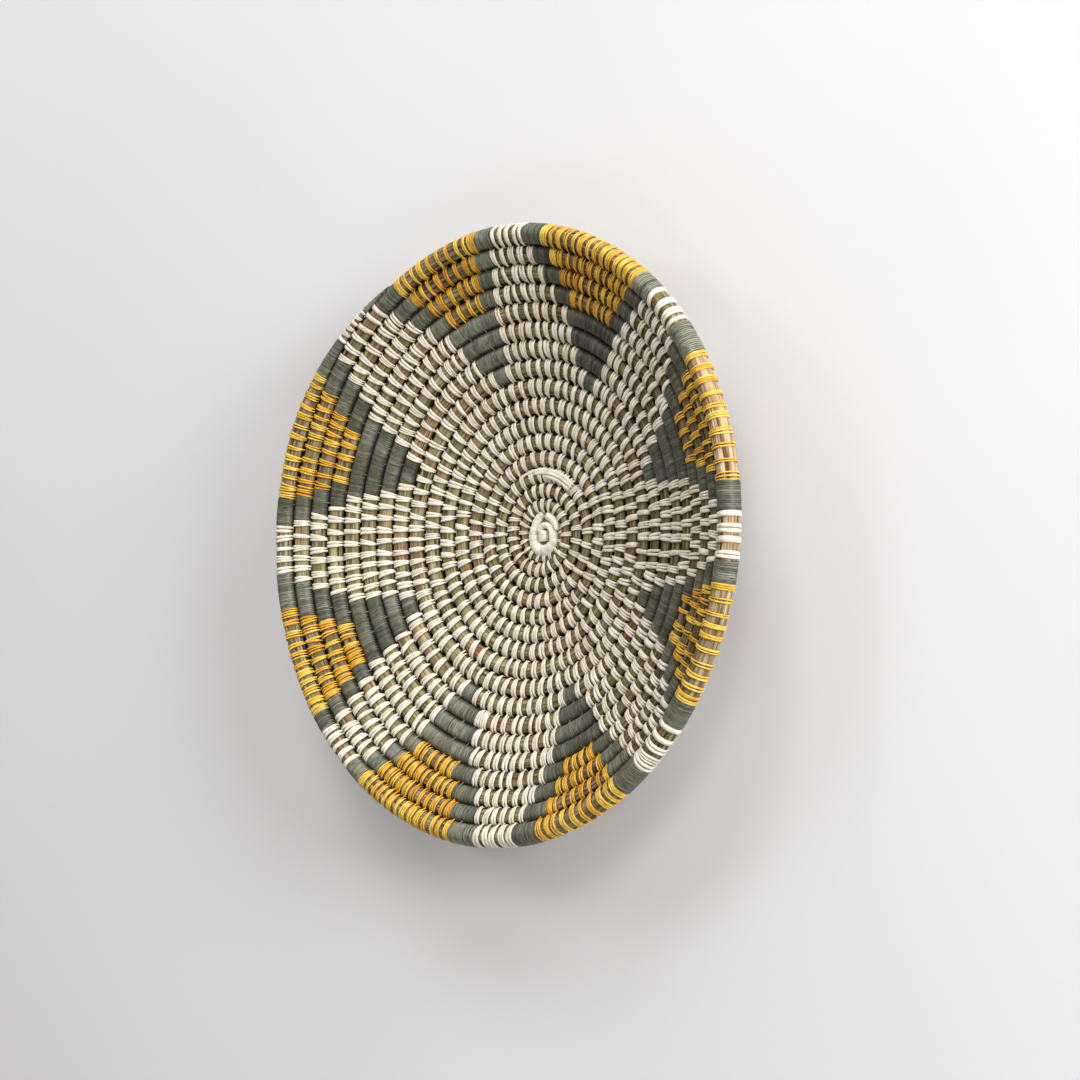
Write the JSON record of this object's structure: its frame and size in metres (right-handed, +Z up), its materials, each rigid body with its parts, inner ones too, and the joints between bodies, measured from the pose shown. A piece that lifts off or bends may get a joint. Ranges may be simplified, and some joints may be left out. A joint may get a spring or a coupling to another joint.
{
  "type": "coiled wall basket",
  "caption": "Shallow round bowl of one coiled grass bundle, bound with grey, yellow and white strips in a petal pattern, hung on a wall by its flat back.",
  "frame": {"origin": "on the flat back of the knot, where the bowl's back touches the wall, on the coil's axis", "axes": "+Y out of the back into the wall, so the bowl opens towards -Y; +Z up; +X to the right as seen from the front"},
  "size_m": [0.3955, 0.0646, 0.391],
  "materials": {
    "dry_seagrass": "dry grass, matt",
    "grey_strip": "flat strip, matt",
    "yellow_strip": "flat strip, slight sheen",
    "white_strip": "flat strip, slight sheen"
  },
  "bodies": {
    "root": {"seagrass_core": "dry_seagrass", "centre_knot": "white_strip", "tail_binding": "grey_strip", "grey_wraps_left_upper": "grey_strip", "grey_wraps_left_lower": "grey_strip", "grey_wraps_bottom_left": "grey_strip", "grey_wraps_bottom_right": "grey_strip", "grey_wraps_right_lower": "grey_strip", "grey_wraps_right_upper": "grey_strip", "grey_wraps_top_right": "grey_strip", "grey_wraps_top_left": "grey_strip", "yellow_wraps_left_upper": "yellow_strip", "yellow_wraps_left_lower": "yellow_strip", "yellow_wraps_bottom_left": "yellow_strip", "yellow_wraps_bottom_right": "yellow_strip", "yellow_wraps_right_lower": "yellow_strip", "yellow_wraps_right_upper": "yellow_strip", "yellow_wraps_top_right": "yellow_strip", "yellow_wraps_top_left": "yellow_strip", "white_stitches_left": "white_strip", "white_stitches_lower_left": "white_strip", "white_stitches_bottom": "white_strip", "white_stitches_lower_right": "white_strip", "white_stitches_right": "white_strip", "white_stitches_upper_right": "white_strip", "white_stitches_top": "white_strip", "white_stitches_upper_left": "white_strip"}
  },
  "joints": []
}
